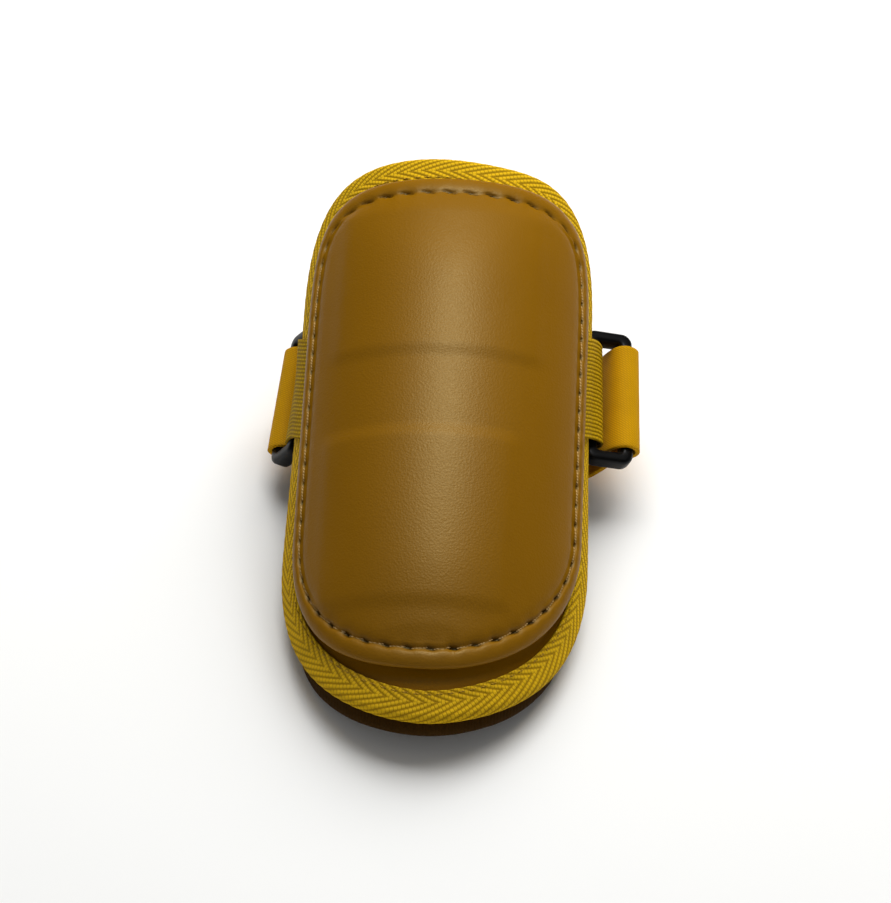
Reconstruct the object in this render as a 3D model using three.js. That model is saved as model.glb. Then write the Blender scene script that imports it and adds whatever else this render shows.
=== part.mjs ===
import * as THREE from 'three';
import { mergeVertices } from 'three/addons/utils/BufferGeometryUtils.js';

// Elbow guard: a leather-covered shell sewn on an arched pad, with a ring on each side
// and an elastic strap that closes the loop behind the arm. Millimetres, +Z up.
// The pad leans back on the strap, its lower end towards -Y and down on the table.

// Driving dimensions
const LEAN = THREE.MathUtils.degToRad(19);
const ARCH_RADIUS = 67;
const BOW_RADIUS = 1000;
// The webbing pulls the pad's edges in: past this distance round the arch they bend this much
// more per millimetre, most at one place along the arm and not at all beyond a reach from there
const PULL = { from: 60, bend: 0.03, place: 28, reach: 85 };
const AROUND = 64;
const FACE_ROWS = 6;
const SEAT = 0.3;
const PANEL_GAP = 0.5;

// Flat outlines before bending: half width, reach of each end from the middle, length of its
// rounding, and how square that rounding is, which at the lower end differs from right to left
const BASE = {
  half: 72.8, top: 120, topRound: 110, topPower: 3.7, bottom: 120, bottomRound: 71,
  bottomPowers: { right: 1.83, left: 1.83 },
};
const SHELL = {
  half: 58.4, top: 107.5, topRound: 84, topPower: 4.7, bottom: 101, bottomRound: 59,
  bottomPowers: { right: 1.9, left: 2.35 },
};
const SHELL_SHIFT = 1.4;

const BASE_THICK = 2.6;
const TAPE_THICK = 1.1;
const TAPE_WIDTH = 11.5;
// Where the tape's fold starts, its shoulder, and that shoulder's share of the tape's whole height
const TAPE_FOLD = { start: 2, shoulder: 0.5, share: 0.36 };
const LINING_THICK = 12;
// Back of the lining: how far in its flat part starts and how far that swells out
const LINING_BACK = { inset: 16, swell: 0.6 };
// How far the lining's rim lies inside the base's edge; an edge counts as an end once it has
// turned from the first to the second share of the way towards it. At the lower corners the rim
// stands out further than that.
const LINING_INSET = { side: 6, top: 4, bottom: -2.4 };
const END_TURN = { from: 0.1, to: 0.62 };
const LINING_CORNER = { right: 1.5, left: 3 };

// The shell sits on the base inside its lip, which stands higher and is narrower along the sides
const SHELL_SEAT_INSET = 11;
const LIP_RISE = 1.2;
const LIP_NARROW = 0.4;
const CROWN = { inset: 13, edge: 6.8, middle: 9.2 };
// Below the lower plate the skin runs straight down to the stitches: their place and height, and
// how much it rises per millimetre from there
const RAMP = { from: -93.6, height: 5.3, rise: 0.17 };
const PLATE_STEP = 0.9;
const PLATE_SOFT = 4;
const PLATES = [
  { from: 31, to: 94, half: 36 },
  { from: -71, to: -5, half: 32 },
];

const STRAP_WIDTH = 45;
const WEBBING_WIDTH = 44;
const WEBBING_THICK = 1.3;
const TAB_STATIONS = 25;
const ELASTIC_THICK = 1.8;
const TAB_REACH = 6.5;
const TAB_START = 55.5;
const TAB_END = 68;
const TAB_STEPS = { front: 4, wraps: 6, back: 2 };
const RING = {
  length: 58.5, slot: 48.6, width: 20, bar: 5, thick: 7.5, corner: 4.5, slotCorner: 1, edge: 1.8,
};
const RING_PITCH = RING.width - RING.bar;
const BAR_CLEAR = 4.1;
// Each ring: its place along the arm, how steeply its webbing hangs, how far below the ring's
// middle that lies in it and how much further down the arm it is sewn, and the ring's tilt and yaw
const SIDES = [
  { name: 'right', mirror: 1, place: 33, hang: 70, slide: -0.8, slant: 6, tilt: 17, yaw: 1.8 },
  { name: 'left', mirror: -1, place: 31.9, hang: 92.6, slide: 1.8, slant: 7.5, tilt: 60, yaw: -5 },
];
// Strap ends, measured in from each outer bar: the tucked layer's length and where it rises,
// where the lower layer lands on the table, and how far round the bar it leaves
const STRAP_TUCK = 20;
const STRAP_RISE = 30;
const STRAP_LAND = 23;
const STRAP_LEAVES = THREE.MathUtils.degToRad(-75);
// Height over which the strap turns from square across its bar to upright
const STRAP_TWIST = 8;
// How far the tucked layer runs on straight at the table and at the bar, as shares of its rise
const STRAP_STRAIGHT = { table: 0.55, bar: 0.3 };
const STRAP_PARTS = { bend: 7, bar: 6 };

const LEATHER = new THREE.MeshStandardMaterial({ color: '#7f5603', roughness: 0.42, metalness: 0 });
const LEDGE_LEATHER = new THREE.MeshStandardMaterial({ color: '#6b4806', roughness: 0.5, metalness: 0 });
const TAPE = new THREE.MeshStandardMaterial({ color: '#b3920c', roughness: 0.8, metalness: 0 });
const WEBBING = new THREE.MeshStandardMaterial({ color: '#a8920f', roughness: 0.8, metalness: 0 });
const ELASTIC = new THREE.MeshStandardMaterial({ color: '#cf8f0a', roughness: 0.75, metalness: 0 });
const LINING = new THREE.MeshStandardMaterial({ color: '#3a2607', roughness: 0.7, metalness: 0 });
const PLASTIC = new THREE.MeshStandardMaterial({ color: '#121214', roughness: 0.4, metalness: 0 });

// Height lost along the arm by the slight lengthwise bow
function bow(along) {
  return (along * along) / (2 * BOW_RADIUS);
}

// Cross-section point for a distance round the arch, a height off the base's face and a place
// along the arm: one arc, and a tighter one for the edge that is pulled in
function arch(round, height, along) {
  const offset = THREE.MathUtils.clamp((along - PULL.place) / PULL.reach, -1, 1);
  const bend = PULL.bend * Math.cos((offset * Math.PI) / 2) ** 2;
  const edge = 1 / (1 / ARCH_RADIUS + bend);
  const start = Math.min(Math.abs(round), PULL.from) / ARCH_RADIUS;
  const angle = start + Math.max(Math.abs(round) - PULL.from, 0) / edge;
  const x = (ARCH_RADIUS - edge) * Math.sin(start) + (edge + height) * Math.sin(angle);
  const z = (ARCH_RADIUS - edge) * Math.cos(start) + (edge + height) * Math.cos(angle);
  return new THREE.Vector2(Math.sign(round) * x, z - ARCH_RADIUS);
}

// One rounded end, from its tip to the side
function quarterEnd(half, reach, round, power, count) {
  const points = [];
  for (let k = 0; k <= count; k += 1) {
    const turn = (k / count) * (Math.PI / 2);
    const across = half * Math.sin(turn) ** (2 / power);
    const along = reach - round + round * Math.cos(turn) ** (2 / power);
    points.push(new THREE.Vector2(across, along));
  }
  return points;
}

// Evenly spaced outline points, from the lower tip up the right side and back down the left, each
// with its inward direction and the place along the arm that it shares with the one opposite
function flatOutline(size) {
  const fine = 60;
  const side = (bottomPower) => {
    const lower = quarterEnd(size.half, size.bottom, size.bottomRound, bottomPower, fine);
    const upper = quarterEnd(size.half, size.top, size.topRound, size.topPower, fine);
    const path = new THREE.Path([...lower.map((p) => new THREE.Vector2(p.x, -p.y)), ...upper.reverse()]);
    return path.getSpacedPoints(AROUND / 2);
  };
  const right = side(size.bottomPowers.right);
  right[0].x = 0;
  right[AROUND / 2].x = 0;
  const left = side(size.bottomPowers.left).slice(1, -1).reverse();
  const points = [...right, ...left.map((p) => new THREE.Vector2(-p.x, p.y))];
  return points.map((point, k) => {
    const ahead = points[(k + 1) % AROUND];
    const behind = points[(k + AROUND - 1) % AROUND];
    const along = new THREE.Vector2().subVectors(ahead, behind).normalize();
    const level = right[Math.min(k, AROUND - k)].y;
    return { point, inward: new THREE.Vector2(-along.y, along.x), level };
  });
}

// Rows of one face at a constant height, from the middle of the panel out to an inset
function faceRows(inset, height) {
  const rows = [];
  for (let k = 0; k <= FACE_ROWS; k += 1) {
    rows.push({ inset, spine: 1 - k / FACE_ROWS, height });
  }
  return rows;
}

// A panel bent over the arch, made as a round blank that takes the outline's shape. Its rows run
// from the middle of the back over the rim to the middle of the front, or round a closed section.
// spine carries a row from its inset towards the panel's middle line, and shape(row, edge) says
// how far in and how high the row lies at one point of the edge.
function bentPanel(outline, rows, shape, shift = 0) {
  const blankRadius = 100;
  const spineScale = 0.55;
  const profile = rows.map((row) => (
    new THREE.Vector2((blankRadius - row.inset) * (1 - row.spine), row.height)
  ));
  const geometry = new THREE.LatheGeometry(profile, AROUND);
  geometry.deleteAttribute('normal');
  geometry.deleteAttribute('uv');
  const position = geometry.getAttribute('position');
  for (let k = 0; k < position.count; k += 1) {
    const row = rows[k % rows.length];
    const edge = outline[Math.floor(k / rows.length) % AROUND];
    const moved = shape(row, edge);
    const rim = edge.point.clone().addScaledVector(edge.inward, moved.inset);
    const middle = new THREE.Vector2(0, edge.level * spineScale);
    const place = rim.lerp(middle, row.spine);
    const height = row.crown ? crownHeight(moved.height, place) : moved.height;
    const section = arch(place.x + shift, height, place.y);
    position.setXYZ(k, section.x, place.y, section.y - bow(place.y));
  }
  const merged = mergeVertices(geometry, 1e-4);
  merged.computeVertexNormals();
  return merged;
}

function keepRow(row) {
  return { inset: row.inset, height: row.height };
}

// Shell's height at a place: raised plates with soft edges under the leather, and the ramp
function crownHeight(height, place) {
  const soft = (inside) => THREE.MathUtils.smoothstep(inside, -PLATE_SOFT, PLATE_SOFT);
  const heights = PLATES.map((plate) => {
    const along = soft(place.y - plate.from) * soft(plate.to - place.y);
    return PLATE_STEP * along * soft(plate.half - Math.abs(place.x));
  });
  const ramp = RAMP.height + RAMP.rise * (place.y - RAMP.from);
  return Math.min(height + Math.max(...heights), ramp);
}

function shellGeometry() {
  const back = faceRows(SHELL_SEAT_INSET, PANEL_GAP).map((row) => ({ ...row, lift: 0, narrow: 0 }));
  const lip = [
    { inset: 7, height: 2.1 },
    { inset: 1.6, height: 2.1 },
    { inset: 0.3, height: 2.7 },
    { inset: 0, height: 3.6 },
    { inset: 0.9, height: 4.8 },
    { inset: 3.2, height: 5.6 },
    { inset: 6, height: 5.7 },
    { inset: 7.4, height: 5.3 },
    { inset: 9, height: 6 },
  ].map((row) => ({ ...row, spine: 0, lift: LIP_RISE, narrow: LIP_NARROW }));
  const crown = faceRows(CROWN.inset, CROWN.edge).reverse().map((row) => ({
    ...row,
    lift: 0,
    narrow: LIP_NARROW,
    crown: true,
    height: THREE.MathUtils.lerp(CROWN.edge, CROWN.middle, Math.sin(row.spine * Math.PI / 2)),
  }));
  const shape = (row, edge) => {
    const side = edge.inward.x ** 4;
    return { inset: row.inset * (1 - row.narrow * side), height: row.height + row.lift * side };
  };
  return bentPanel(flatOutline(SHELL), [...back, ...lip, ...crown], shape, SHELL_SHIFT);
}

function basePanelGeometry() {
  const face = (height) => [
    ...faceRows(TAPE_WIDTH, height),
    { inset: TAPE_WIDTH / 2, spine: 0, height },
    { inset: TAPE_THICK + SEAT, spine: 0, height },
  ];
  return bentPanel(flatOutline(BASE), [...face(-BASE_THICK), ...face(0).reverse()], keepRow);
}

// Tape folded round the panel's edge: a closed U section
function bindingGeometry() {
  const front = SEAT + TAPE_THICK;
  const back = -BASE_THICK - SEAT - TAPE_THICK;
  const fold = (front + back) / 2;
  const shoulder = TAPE_FOLD.share * (front - back);
  const section = [
    { inset: TAPE_WIDTH, height: back },
    { inset: TAPE_WIDTH / 2, height: back },
    { inset: TAPE_FOLD.start, height: back },
    { inset: TAPE_FOLD.shoulder, height: fold - shoulder },
    { inset: 0, height: fold },
    { inset: TAPE_FOLD.shoulder, height: fold + shoulder },
    { inset: TAPE_FOLD.start, height: front },
    { inset: TAPE_WIDTH / 2, height: front },
    { inset: TAPE_WIDTH, height: front },
    { inset: TAPE_WIDTH, height: SEAT },
    { inset: TAPE_WIDTH / 2, height: SEAT },
    { inset: TAPE_THICK, height: SEAT },
    { inset: TAPE_THICK, height: -BASE_THICK - SEAT },
    { inset: TAPE_WIDTH / 2, height: -BASE_THICK - SEAT },
    { inset: TAPE_WIDTH, height: -BASE_THICK - SEAT },
  ];
  const rows = [...section, section[0]].map((row) => ({ ...row, spine: 0 }));
  return bentPanel(flatOutline(BASE), rows, keepRow);
}

// Back pad: its rim stands in from the tape at the sides and bulges past it at the lower end, most
// of all at the two corners there
function liningGeometry() {
  const front = -BASE_THICK - PANEL_GAP;
  const step = -BASE_THICK - TAPE_THICK - 2 * SEAT;
  const behind = step - LINING_THICK;
  const rim = [
    { inset: 9, height: behind, rim: 0.3, corner: 0 },
    { inset: 4, height: behind + 1.6, rim: 0.8, corner: 0 },
    { inset: 1, height: behind + 4.2, rim: 1, corner: 0.2 },
    { inset: 0, height: behind + 7.4, rim: 1, corner: 0.7 },
    { inset: 0.6, height: step - 1.8, rim: 1, corner: 1 },
    { inset: 3, height: step, rim: 0.9, corner: 0.9 },
    { inset: TAPE_WIDTH + 1, height: step, rim: 0, corner: 0 },
  ].map((row) => ({ ...row, spine: 0 }));
  const still = (row) => ({ ...row, rim: 0, corner: 0 });
  const rows = [
    ...faceRows(LINING_BACK.inset, behind - LINING_BACK.swell).map(still),
    ...rim,
    ...faceRows(TAPE_WIDTH + 1, front).reverse().map(still),
  ];
  return bentPanel(flatOutline(BASE), rows, (row, edge) => {
    const end = edge.inward.y > 0 ? LINING_INSET.bottom : LINING_INSET.top;
    const turned = THREE.MathUtils.smoothstep(Math.abs(edge.inward.y), END_TURN.from, END_TURN.to);
    const corner = edge.inward.x > 0 ? LINING_CORNER.left : LINING_CORNER.right;
    const bulge = corner * (2 * edge.inward.x * Math.max(edge.inward.y, 0)) ** 2;
    const reach = THREE.MathUtils.lerp(LINING_INSET.side, end, turned);
    return { inset: row.inset + row.rim * reach - row.corner * bulge, height: row.height };
  });
}

// A flat band carried along pointsAt(across): x runs along the band, y across it, z through it
function bandGeometry(stations, width, acrossSteps, thick, pointsAt) {
  const geometry = new THREE.BoxGeometry(stations - 1, width, thick, stations - 1, acrossSteps, 1);
  geometry.deleteAttribute('normal');
  geometry.deleteAttribute('uv');
  const position = geometry.getAttribute('position');
  for (let k = 0; k < position.count; k += 1) {
    const station = Math.round(position.getX(k) + (stations - 1) / 2);
    const across = position.getY(k);
    const points = pointsAt(across);
    const ahead = points[Math.min(station + 1, stations - 1)];
    const behind = points[Math.max(station - 1, 0)];
    const along = new THREE.Vector3().subVectors(ahead, behind).setY(0).normalize();
    const off = position.getZ(k);
    const point = points[station];
    position.setXYZ(k, point.x - along.z * off, point.y, point.z + along.x * off);
  }
  const merged = mergeVertices(geometry, 1e-4);
  merged.computeVertexNormals();
  return merged;
}

// Middle of a ring's inner bar in the cross-section, drawn on the right-hand side. The bar stays
// straight where the pad bows.
function innerBar(side, across) {
  const fold = arch(BASE.half, -BASE_THICK / 2, side.place);
  const hang = THREE.MathUtils.degToRad(side.hang);
  const swing = across * Math.tan(THREE.MathUtils.degToRad(side.yaw));
  return new THREE.Vector2(
    fold.x + TAB_REACH * Math.cos(hang) - side.mirror * swing,
    fold.y - TAB_REACH * Math.sin(hang) + bow(across),
  );
}

// Webbing from under the shell's edge, over the tape, round the inner bar and back behind the tape
function tabRoute(side, across, stations) {
  const frontHeight = 2 * SEAT + TAPE_THICK + WEBBING_THICK / 2;
  const backHeight = -BASE_THICK - 2 * SEAT - TAPE_THICK - WEBBING_THICK / 2;
  const radius = BAR_CLEAR + WEBBING_THICK / 2;
  const middle = side.place - side.slide + across;
  const bar = innerBar(side, across - side.slide);
  const section = [];
  for (let round = TAB_START; round < BASE.half; round += TAB_STEPS.front) {
    section.push(arch(round, frontHeight, middle));
  }
  for (let k = 0; k <= TAB_STEPS.wraps; k += 1) {
    const turn = THREE.MathUtils.degToRad(90 - side.hang - (180 * k) / TAB_STEPS.wraps);
    section.push(new THREE.Vector2(bar.x + radius * Math.cos(turn), bar.y + radius * Math.sin(turn)));
  }
  for (let round = BASE.half - 1; round >= TAB_END; round -= TAB_STEPS.back) {
    section.push(arch(round, backHeight, middle));
  }
  const route = new THREE.SplineCurve(section).getSpacedPoints(stations - 1);
  const points = route.map((p, k) => {
    const place = middle - side.slant * Math.max(Math.cos((Math.PI * k) / (stations - 1)), 0) ** 2;
    return new THREE.Vector3(side.mirror * p.x, place, p.y - bow(place));
  });
  return side.mirror > 0 ? points : points.reverse();
}

function roundedRectangle(path, width, length, corner) {
  const x = width / 2;
  const y = length / 2;
  path.moveTo(x, corner - y);
  path.lineTo(x, y - corner);
  path.absarc(x - corner, y - corner, corner, 0, Math.PI / 2);
  path.lineTo(corner - x, y);
  path.absarc(corner - x, y - corner, corner, Math.PI / 2, Math.PI);
  path.lineTo(-x, corner - y);
  path.absarc(corner - x, corner - y, corner, Math.PI, 1.5 * Math.PI);
  path.lineTo(x - corner, -y);
  path.absarc(x - corner, corner - y, corner, 1.5 * Math.PI, 2 * Math.PI);
  return path;
}

// Rectangular ring, its inner bar on the origin and its outer bar out along +X
function ringGeometry() {
  const frame = roundedRectangle(new THREE.Shape(), RING.width, RING.length, RING.corner);
  const slot = roundedRectangle(new THREE.Path(), RING_PITCH - RING.bar, RING.slot, RING.slotCorner);
  frame.holes.push(slot);
  const geometry = new THREE.ExtrudeGeometry(frame, {
    depth: RING.thick - 2 * RING.edge,
    curveSegments: 2,
    bevelThickness: RING.edge,
    bevelSize: RING.edge,
    bevelOffset: -RING.edge,
    bevelSegments: 1,
  });
  geometry.translate(RING_PITCH / 2, 0, RING.edge - RING.thick / 2);
  return geometry;
}

function namedMesh(name, geometry, material) {
  const mesh = new THREE.Mesh(geometry, material);
  mesh.name = name;
  return mesh;
}

const rings = SIDES.map((side) => {
  const ring = namedMesh(`ring_${side.name}`, ringGeometry(), PLASTIC);
  const bar = innerBar(side, 0);
  const tilt = THREE.MathUtils.degToRad(side.mirror > 0 ? side.tilt : 180 - side.tilt);
  ring.position.set(side.mirror * bar.x, side.place, bar.y - bow(side.place));
  ring.rotation.set(-side.place / BOW_RADIUS, tilt, THREE.MathUtils.degToRad(side.yaw), 'ZXY');
  return ring;
});

const tabs = SIDES.map((side) => {
  const route = (across) => tabRoute(side, across, TAB_STATIONS);
  const geometry = bandGeometry(TAB_STATIONS, WEBBING_WIDTH, 2, WEBBING_THICK, route);
  return namedMesh(`webbing_tab_${side.name}`, geometry, WEBBING);
});

const pad = new THREE.Group();
pad.add(
  namedMesh('shell', shellGeometry(), LEATHER),
  namedMesh('base_panel', basePanelGeometry(), LEDGE_LEATHER),
  namedMesh('binding', bindingGeometry(), TAPE),
  namedMesh('lining_pad', liningGeometry(), LINING),
  ...tabs,
  ...rings,
);
pad.rotation.x = LEAN;
pad.position.z = -new THREE.Box3().setFromObject(pad, true).min.z;
pad.updateMatrixWorld(true);

// Strap: each thread runs in its own upright plane, from a tuck on the table up through one ring,
// over its outer bar, down and flat along the table, and the same way back on the other side
function threadPoints(across) {
  const radius = BAR_CLEAR + ELASTIC_THICK / 2;
  const flat = ELASTIC_THICK / 2;
  const tucked = flat + ELASTIC_THICK + SEAT;
  const bars = rings.map((ring) => ring.localToWorld(new THREE.Vector3(RING_PITCH, across, 0)));
  const curves = bars.map((bar, k) => {
    const sign = SIDES[k].mirror;
    const at = (x, z) => new THREE.Vector2(bar.x + sign * x, z);
    const around = (turn, ahead) => at(
      radius * Math.cos(turn) + ahead * Math.sin(turn),
      bar.z + radius * Math.sin(turn) - ahead * Math.cos(turn),
    );
    const turns = [Math.PI / 2, sign > 0 ? STRAP_LEAVES : Math.PI - STRAP_LEAVES];
    return [
      {
        parts: 1,
        curve: new THREE.LineCurve(at(-STRAP_RISE - STRAP_TUCK, tucked), at(-STRAP_RISE, tucked)),
      },
      {
        parts: STRAP_PARTS.bend,
        curve: new THREE.CubicBezierCurve(
          at(-STRAP_RISE, tucked),
          at(-STRAP_RISE * (1 - STRAP_STRAIGHT.table), tucked),
          at(-STRAP_RISE * STRAP_STRAIGHT.bar, bar.z + radius),
          at(0, bar.z + radius),
        ),
      },
      {
        parts: STRAP_PARTS.bar,
        curve: new THREE.EllipseCurve(bar.x, bar.z, radius, radius, ...turns, sign > 0),
      },
      {
        parts: STRAP_PARTS.bend,
        curve: new THREE.CubicBezierCurve(
          around(STRAP_LEAVES, 0),
          around(STRAP_LEAVES, STRAP_LAND / 3),
          at(-STRAP_LAND / 2, flat),
          at(-STRAP_LAND, flat),
        ),
      },
    ];
  });
  const sample = ({ curve, parts }) => curve.getPoints(parts).slice(1);
  const [right, left] = curves.map((list, k) => {
    const flatPoints = [list[0].curve.v1, ...list.flatMap(sample)];
    return flatPoints.map((p) => {
      const turned = STRAP_TWIST * Math.tanh((p.y - bars[k].z) / STRAP_TWIST);
      return new THREE.Vector3(p.x, bars[k].y - Math.tan(LEAN) * turned, p.y);
    });
  });
  return [...right, ...left.reverse()];
}

const strapStations = threadPoints(0).length;
const strap = namedMesh(
  'elastic_strap',
  bandGeometry(strapStations, STRAP_WIDTH, 4, ELASTIC_THICK, threadPoints),
  ELASTIC,
);

const elbowGuard = new THREE.Group();
elbowGuard.add(pad, strap);
const box = new THREE.Box3().setFromObject(elbowGuard, true);
elbowGuard.position.set(-(box.min.x + box.max.x) / 2, -(box.min.y + box.max.y) / 2, -box.min.z);

export default elbowGuard;
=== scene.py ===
from collections import namedtuple
from math import atan2, copysign, cos, exp, pi, radians, sin, tan, tau

import bmesh
import bpy
import numpy as np
from mathutils import Matrix, Vector


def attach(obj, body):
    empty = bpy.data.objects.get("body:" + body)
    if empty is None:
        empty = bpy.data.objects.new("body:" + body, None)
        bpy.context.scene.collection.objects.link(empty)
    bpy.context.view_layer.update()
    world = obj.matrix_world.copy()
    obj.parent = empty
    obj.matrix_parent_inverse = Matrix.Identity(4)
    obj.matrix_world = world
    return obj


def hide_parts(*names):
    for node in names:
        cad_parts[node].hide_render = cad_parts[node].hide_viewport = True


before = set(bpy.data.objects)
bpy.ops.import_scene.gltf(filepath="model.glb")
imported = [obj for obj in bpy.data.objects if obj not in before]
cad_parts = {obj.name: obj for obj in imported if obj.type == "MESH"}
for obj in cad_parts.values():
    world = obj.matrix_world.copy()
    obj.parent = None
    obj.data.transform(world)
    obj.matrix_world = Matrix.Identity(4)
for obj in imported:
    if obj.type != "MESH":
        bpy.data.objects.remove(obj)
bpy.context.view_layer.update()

# Base panel: one sheet of cowhide, die cut to the guard's outline and bent over the arm.
# Everything else is sewn to it, and between the shell's lip and the tape it shows as a ledge.

# The guard leans back on its strap, so its own axes are turned and lifted off the table
LEAN = 19
PAD_PLACE = (-0.00405337, -0.00320468, 0.06347162)
PAD = Matrix.Translation(PAD_PLACE) @ Matrix.Rotation(radians(LEAN), 4, "X")
# It is arched across the arm and bowed a little along it
ARCH_RADIUS = 67
BOW_RADIUS = 1000
# The webbing pulls the pad's edges in: past this distance round the arm they bend this much more
# per millimetre, most at one place along the arm and not at all beyond a reach from there
PULL = {"from": 60, "bend": 0.03, "place": 28, "reach": 85}
# A panel's middle line ends at this share of the way to its tips
SPINE_SHARE = 0.55
# A panel is spun as a round blank, with a pinhole that keeps the points at its middle apart
BLANK_RADIUS = 100
BLANK_HOLE = 0.05
# Half width, and for the lower and the upper end its reach, the length of its rounding and how square
# that rounding is on the right and on the left
BASE_OUTLINE = {"half": 72.8, "ends": ((120, 71, 1.83, 1.83), (120, 110, 3.7, 3.7)), "sag": 1.6}
# The upper edge sags a little to the right of its middle
SAG_AT, SAG_WIDE = 20, 20
# Points on a quarter of an outline, before they are spaced out evenly
QUARTER_POINTS = 400
BASE_THICK = 2.6
BASE_CHAMFER = 0.4
TAPE_WIDTH = 11.5
TAPE_THICK = 1.1
# Gap between pieces that are sewn together
SEAT = 0.3
Edge = namedtuple("Edge", "point inward distance level")


def arch_section(round_arm, along, height):
    """The guard's cross-section in millimetres, with the lengthwise bow left out: one arc, and a
    tighter one for the edge that the webbing pulls in."""
    offset = min(max((along - PULL["place"]) / PULL["reach"], -1), 1)
    edge = 1 / (1 / ARCH_RADIUS + PULL["bend"] * cos(offset * pi / 2) ** 2)
    start = min(abs(round_arm), PULL["from"]) / ARCH_RADIUS
    angle = start + max(abs(round_arm) - PULL["from"], 0) / edge
    x = (ARCH_RADIUS - edge) * sin(start) + (edge + height) * sin(angle)
    z = (ARCH_RADIUS - edge) * cos(start) + (edge + height) * cos(angle)
    return Vector((copysign(x, round_arm), z - ARCH_RADIUS))


def bow_drop(along):
    """How far the lengthwise bow lowers a place along the arm."""
    return along * along / (2 * BOW_RADIUS)


def bent(round_arm, along, height):
    """A place in metres, from millimetres round the arm, along it and off the base panel's face."""
    x, z = arch_section(round_arm, along, height)
    return PAD @ (Vector((x, along, z - bow_drop(along))) / 1000)


def cut_outline(half, ends, count, sag=0.0, even_at=0.0):
    """A panel's edge from its lower tip up the right side and round, as count points that are evenly
    spaced at one inset. Each is its flat place, its inward direction, its distance along the edge,
    and the place along the arm that it shares with the point opposite."""
    turns = np.linspace(0, pi / 2, QUARTER_POINTS)
    sides = []
    for hand in (0, 1):
        quarters = []
        for sign, (reach, rounding, *powers) in zip((-1, 1), ends):
            across = half * np.sin(turns) ** (2 / powers[hand])
            along = sign * (reach - rounding + rounding * np.abs(np.cos(turns)) ** (2 / powers[hand]))
            quarters.append(np.stack([across, along], 1)[::-sign])
        sides.append(np.concatenate(quarters))
    loop = np.concatenate([sides[0], (sides[1] * (-1, 1))[-2:0:-1]])
    loop[:, 1] -= sag * (loop[:, 1] > 0) * np.exp(-((loop[:, 0] - SAG_AT) / SAG_WIDE) ** 2)
    runs = np.roll(loop, -1, 0) - np.roll(loop, 1, 0)
    runs /= np.linalg.norm(runs, axis=1)[:, None]
    inner = loop + even_at * np.stack([-runs[:, 1], runs[:, 0]], 1)
    steps = np.linalg.norm(np.roll(inner, -1, 0) - inner, axis=1)
    length = np.concatenate([[0], np.cumsum(steps)])
    ring = np.concatenate([loop, loop[:1]])
    wanted = np.linspace(0, length[-1], count, endpoint=False)
    points = np.stack([np.interp(wanted, length, ring[:, axis]) for axis in (0, 1)], 1)
    edges = []
    for k, point in enumerate(points):
        run = points[(k + 1) % count] - points[k - 1]
        run /= np.linalg.norm(run)
        level = (point[1] + points[-k][1]) / 2
        edges.append(Edge(Vector(point), Vector((-run[1], run[0])), wanted[k], level))
    return edges, length[-1]


def panel_spot(edge, inset, spine):
    """A flat place on a panel: in from its edge, then a share of the way to its middle line."""
    return (edge.point + edge.inward * inset).lerp(Vector((0, edge.level * SPINE_SHARE)), spine)


def sewn_panel(rows, edges, place, closed=False):
    """A panel's section, with one point for each row, spun into a round blank that is then laid
    along the edge: place(row, edge, turn) says where each point goes."""
    bm = bmesh.new()
    row_of = bm.verts.layers.int.new("row")
    turn_of = bm.verts.layers.int.new("turn")
    section = []
    for number, (inset, spine, height, *_) in enumerate(rows):
        radius = (BLANK_RADIUS - inset) * (1 - spine) + BLANK_HOLE
        section.append(bm.verts.new((radius, 0, height)))
        section[-1][row_of] = number
    for pair in zip(section, section[1:] + section[:1] * closed):
        bm.edges.new(pair)
    bmesh.ops.spin(
        bm, geom=bm.verts[:] + bm.edges[:], axis=(0, 0, 1), angle=tau, steps=len(edges), use_merge=True,
    )
    for vert in bm.verts:
        turn = round(atan2(vert.co.y, vert.co.x) / tau * len(edges)) % len(edges)
        vert[turn_of] = turn
        vert.co = place(rows[vert[row_of]], edges[turn], turn)
    bmesh.ops.remove_doubles(bm, verts=bm.verts, dist=1e-6)
    bmesh.ops.recalc_face_normals(bm, faces=bm.faces)
    # Merging leaves the mesh in no fixed order, and a simulation comes out differently for each
    bm.verts.sort(key=lambda vert: vert[turn_of] * len(rows) + vert[row_of])
    bm.verts.index_update()
    for parts in (bm.edges, bm.faces):
        numbers = {part: sorted(vert.index for vert in part.verts) for part in parts}
        parts.sort(key=lambda part: numbers[part][0] * len(bm.verts) + numbers[part][-1])
    return bm


def new_piece(name, bm, material):
    """A finished mesh as an object that rides with the guard."""
    mesh = bpy.data.meshes.new(name)
    bm.to_mesh(mesh)
    bm.free()
    mesh.shade_smooth()
    mesh.materials.append(material)
    piece = bpy.data.objects.new(name, mesh)
    bpy.context.scene.collection.objects.link(piece)
    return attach(piece, "root")


def linear(text):
    """An sRGB hex colour as linear RGBA."""
    values = [int(text[k:k + 2], 16) / 255 for k in (1, 3, 5)]
    return [v / 12.92 if v <= 0.04045 else ((v + 0.055) / 1.055) ** 2.4 for v in values] + [1]


def add_node(tree, kind, sockets=None, **settings):
    """A node with its settings, its sockets' values and its links."""
    node = tree.nodes.new(kind)
    for name, value in settings.items():
        setattr(node, name, value)
    for name, value in (sockets or {}).items():
        if isinstance(value, bpy.types.NodeSocket):
            tree.links.new(value, node.inputs[name])
        else:
            node.inputs[name].default_value = value
    return node


def new_material(name):
    """A material with an empty node tree."""
    material = bpy.data.materials.new(name)
    material.use_nodes = True
    tree = material.node_tree
    tree.nodes.clear()
    return material, tree


# Sizes in mm of the leather's pebble grain, its pores and the clouds in its colour
PEBBLE, PORE, LEATHER_CLOUD = 0.9, 0.6, 35
GRAIN_DEPTH = 0.12


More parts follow.
